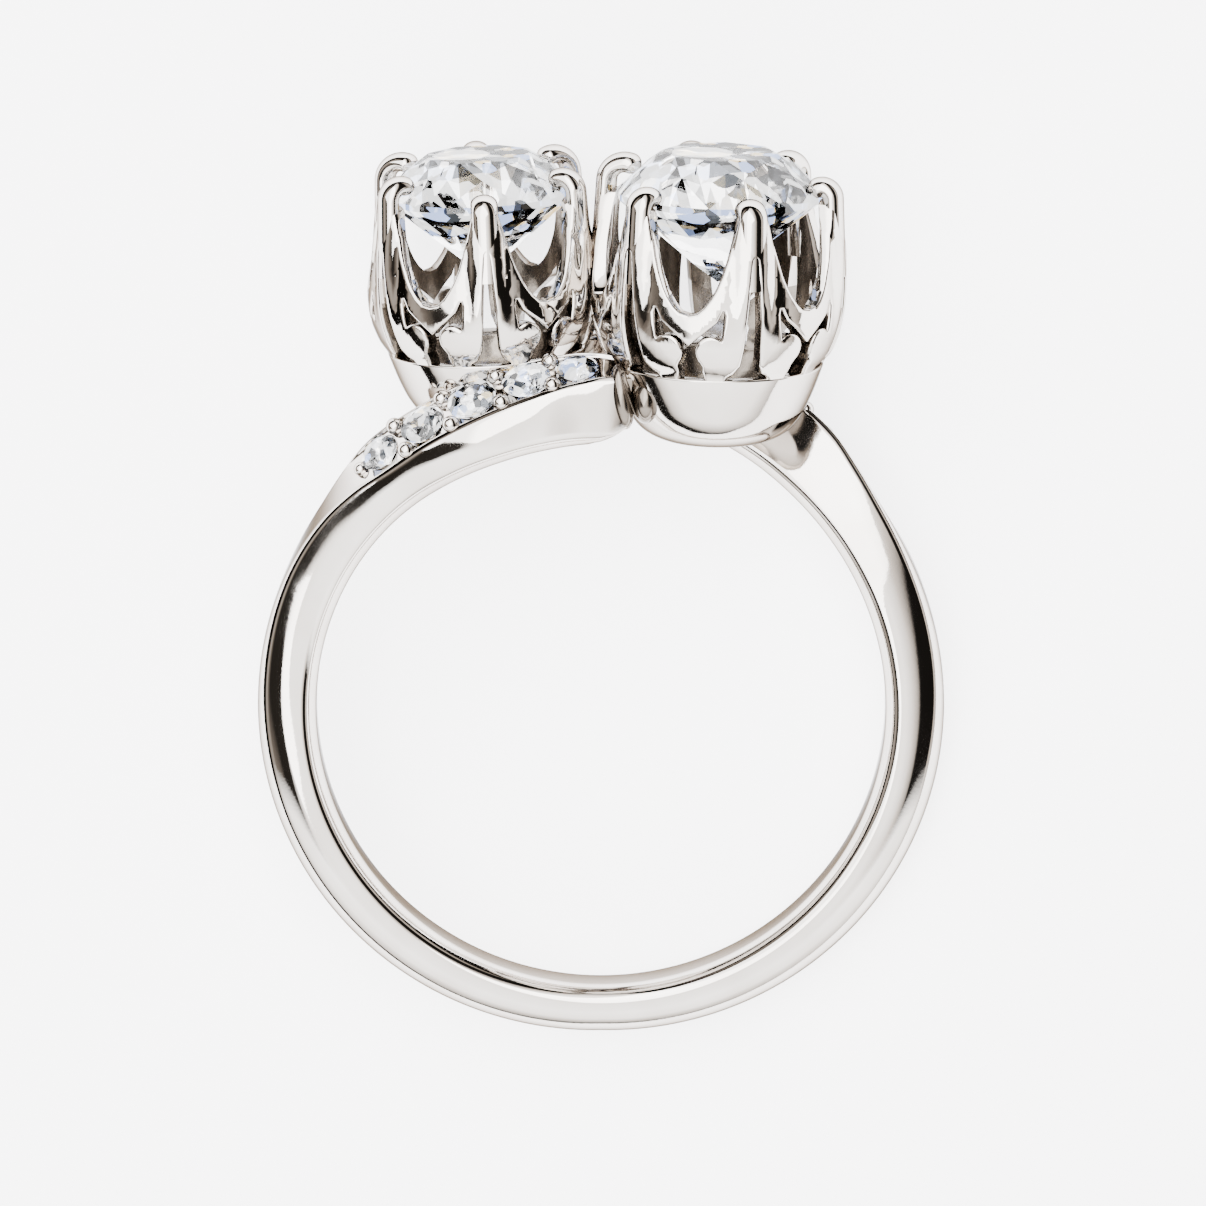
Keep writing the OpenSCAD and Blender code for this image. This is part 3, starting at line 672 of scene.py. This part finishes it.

# Cut diamond: clear, hard and bright. What the facets seen through it show, white, blue,
# straw or dark, is painted reflection: a pattern of cells in its colour. It is folded eight
# times round each large stone, as the cut is. A second pattern of bright cells is painted
# highlight that glows, though the stone is no lamp.
# Diamond's index is 2.42. It is lowered here, so that the surface mirrors less white over
# the facets.
cut_diamonds = {}
for size, stone_middle in {"small": None, **stone_middles}.items():
    diamond = bpy.data.materials.new("cut_diamond_painted_fire_" + size)
    diamond.use_nodes = True
    diamond.node_tree.nodes.clear()
    place = add_node(diamond, "ShaderNodeTexCoord").outputs["Object"]
    cells_per_unit = 1000 / small_painted_cell_mm
    if stone_middle:
        # The pattern's place in the stone's own millimetres, moved off the middle
        off_centre = Matrix.Translation((painted_cell_mm, 0, painted_cell_mm / 2))
        shift, turned_by, stretch = (off_centre @ stone_middle.inverted()).decompose()
        own = add_node(diamond, "ShaderNodeMapping",
                       {"Location": shift, "Rotation": turned_by.to_euler(), "Scale": stretch},
                       {"Vector": place})
        across = add_node(diamond, "ShaderNodeSeparateXYZ", {}, {"Vector": own.outputs["Vector"]}).outputs
        round_it = add_node(diamond, "ShaderNodeMath", {"operation": "ARCTAN2"},
                            {0: across["Y"], 1: across["X"]})
        fold = add_node(diamond, "ShaderNodeMath", {"operation": "PINGPONG", 1: facet_fold},
                        {0: round_it.outputs["Value"]})
        level = add_node(diamond, "ShaderNodeVectorMath", {"operation": "MULTIPLY", 1: (1, 1, 0)},
                         {0: own.outputs["Vector"]})
        out = add_node(diamond, "ShaderNodeVectorMath", {"operation": "LENGTH"}, {0: level.outputs["Vector"]})
        sides = {"Z": across["Z"]}
        for axis, operation in (("X", "COSINE"), ("Y", "SINE")):
            share = add_node(diamond, "ShaderNodeMath", {"operation": operation}, {0: fold.outputs["Value"]})
            side = add_node(diamond, "ShaderNodeMath", {"operation": "MULTIPLY"},
                            {0: out.outputs["Value"], 1: share.outputs["Value"]})
            sides[axis] = side.outputs["Value"]
        place = add_node(diamond, "ShaderNodeCombineXYZ", {}, sides).outputs["Vector"]
        cells_per_unit = 1 / painted_cell_mm
    cells = add_node(diamond, "ShaderNodeTexVoronoi", {"Scale": cells_per_unit}, {"Vector": place})
    spread = add_node(diamond, "ShaderNodeSeparateColor", {}, {"Color": cells.outputs["Color"]})
    # The painted facet reflections go in the colour, the painted highlights in its glow
    painted_tint = add_node(diamond, "ShaderNodeValToRGB", {}, {"Fac": spread.outputs["Red"]}, painted_facet_reflections)
    painted_flash = add_node(diamond, "ShaderNodeValToRGB", {}, {"Fac": spread.outputs["Green"]}, painted_glow_highlights)
    painted_tint.color_ramp.interpolation = painted_flash.color_ramp.interpolation = "CONSTANT"
    gloss_and_painted_glow = add_node(diamond, "ShaderNodeBsdfPrincipled",
                     {"Roughness": 0.0, "IOR": index, "Transmission Weight": 1.0, "Specular IOR Level": 0.1,
                      "Emission Strength": 7.0},
                     {"Base Color": painted_tint.outputs["Color"], "Emission Color": painted_flash.outputs["Color"]})
    depths = add_node(diamond, "ShaderNodeBsdfRefraction", {"Roughness": 0.0, "IOR": index},
                      {"Color": painted_tint.outputs["Color"]})
    cut = add_node(diamond, "ShaderNodeMixShader", {"Fac": 0.7},
                   {1: gloss_and_painted_glow.outputs["BSDF"], 2: depths.outputs["BSDF"]})
    add_node(diamond, "ShaderNodeOutputMaterial", {}, {"Surface": cut.outputs["Shader"]})
    cut_diamonds[size] = diamond

for name, cad_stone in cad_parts.items():
    if "stone" in name:
        cad_stone.data.materials.clear()
        cad_stone.data.materials.append(cut_diamonds.get(name, cut_diamonds["small"]))

# Floor and light
# A plain pale sheet with a soft light box above it and a light tent all round. The dark
# gaps between the tent's panels draw the metal's dark lines.
floor_size = 1.5
floor_drop = 0.00001

# White paper board, matt and smooth. It gives off light of its own, which brings it near
# the photograph's white.
paper = bpy.data.materials.new("matt_paper")
paper.use_nodes = True
paper.node_tree.nodes.clear()
board = add_node(paper, "ShaderNodeBsdfPrincipled",
                 {"Roughness": 0.9, "Specular IOR Level": 0.1, "Base Color": linear("#F8F8FA"),
                  "Emission Color": linear("#F8F8FA"), "Emission Strength": 3.0})
add_node(paper, "ShaderNodeOutputMaterial", {}, {"Surface": board.outputs["BSDF"]})
floor_bm = bmesh.new()
bmesh.ops.create_grid(floor_bm, x_segments=1, y_segments=1, size=floor_size)
floor = made_object("floor", floor_bm)
floor.data.materials.append(paper)
floor.location = (0, 0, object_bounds()[0][2] - floor_drop)

# The tent's panels, white and grey, by direction with the ring upright. The first row of
# colours goes from the camera's side (0) to behind the ring (1). The second goes round
# it as seen from above, with the camera's side at 0.5 and the right at 0.75.
panels_back = [(0.0, "#E6E4E2"), (0.12, "#FFFFFF"), (0.30, "#F0EEEC"), (0.40, "#A09C98"),
               (0.43, "#0A0908"), (0.55, "#0A0908"), (0.58, "#FFFFFF")]
panels_round = [(0.0, "#8A847E"), (0.27, "#A8A29C"), (0.33, "#4A4540"), (0.36, "#141210"),
                (0.415, "#141210"), (0.43, "#E8E6E4"), (0.47, "#FFFFFF"), (0.53, "#FFFFFF"),
                (0.57, "#A8A29C"), (0.60, "#0A0908"), (0.675, "#0A0908"), (0.69, "#A8A29C"),
                (0.78, "#D0CCC8"), (0.9, "#8A847E")]
tent = bpy.data.worlds.new("light_tent")
tent.use_nodes = True
tent.node_tree.nodes.clear()
direction = add_node(tent, "ShaderNodeTexCoord")
upright = add_node(tent, "ShaderNodeMapping", {"vector_type": "TEXTURE", "Rotation": lean.to_euler()},
                   {"Vector": direction.outputs["Generated"]})
parts = add_node(tent, "ShaderNodeSeparateXYZ", {}, {"Vector": upright.outputs["Vector"]})
depth = add_node(tent, "ShaderNodeMapRange", {"From Min": -1.0, "From Max": 1.0},
                 {"Value": parts.outputs["Y"]})
backward = add_node(tent, "ShaderNodeValToRGB", {}, {"Fac": depth.outputs["Result"]}, panels_back)
toward = add_node(tent, "ShaderNodeMath", {"operation": "MULTIPLY", 1: -1}, {0: parts.outputs["Y"]})
azimuth = add_node(tent, "ShaderNodeMath", {"operation": "ARCTAN2"},
                   {0: parts.outputs["X"], 1: toward.outputs["Value"]})
turned_to = add_node(tent, "ShaderNodeMapRange", {"From Min": -pi, "From Max": pi},
                     {"Value": azimuth.outputs["Value"]})
round_about = add_node(tent, "ShaderNodeValToRGB", {}, {"Fac": turned_to.outputs["Result"]}, panels_round)
both = add_node(tent, "ShaderNodeMix", {"data_type": "RGBA", "blend_type": "MULTIPLY", "Factor": 1},
                {"A": backward.outputs["Color"], "B": round_about.outputs["Color"]})
# The upright panels stop short of the tent's foot, so the bowls mirror only its white
height = add_node(tent, "ShaderNodeMapRange", {"From Min": -0.50, "From Max": -0.40},
                  {"Value": parts.outputs["Z"]})
panels = add_node(tent, "ShaderNodeMix", {"data_type": "RGBA"},
                  {"Factor": height.outputs["Result"], "A": backward.outputs["Color"],
                   "B": both.outputs["Result"]})
glow = add_node(tent, "ShaderNodeBackground", {"Strength": 5.6}, {"Color": panels.outputs["Result"]})
add_node(tent, "ShaderNodeOutputWorld", {}, {"Surface": glow.outputs["Background"]})
scene.world = tent

# The light box: its middle and width in metres, and its power in watts
box_at = Vector((-0.10, 0.12, 0.42))
box_data = bpy.data.lights.new("key_light", "AREA")
box_data.size = 0.6
box_data.energy = 8.0
light_box = bpy.data.objects.new("key_light", box_data)
light_box.matrix_world = Matrix.Translation(box_at) @ box_at.to_track_quat("Z", "Y").to_matrix().to_4x4()
scene.collection.objects.link(light_box)
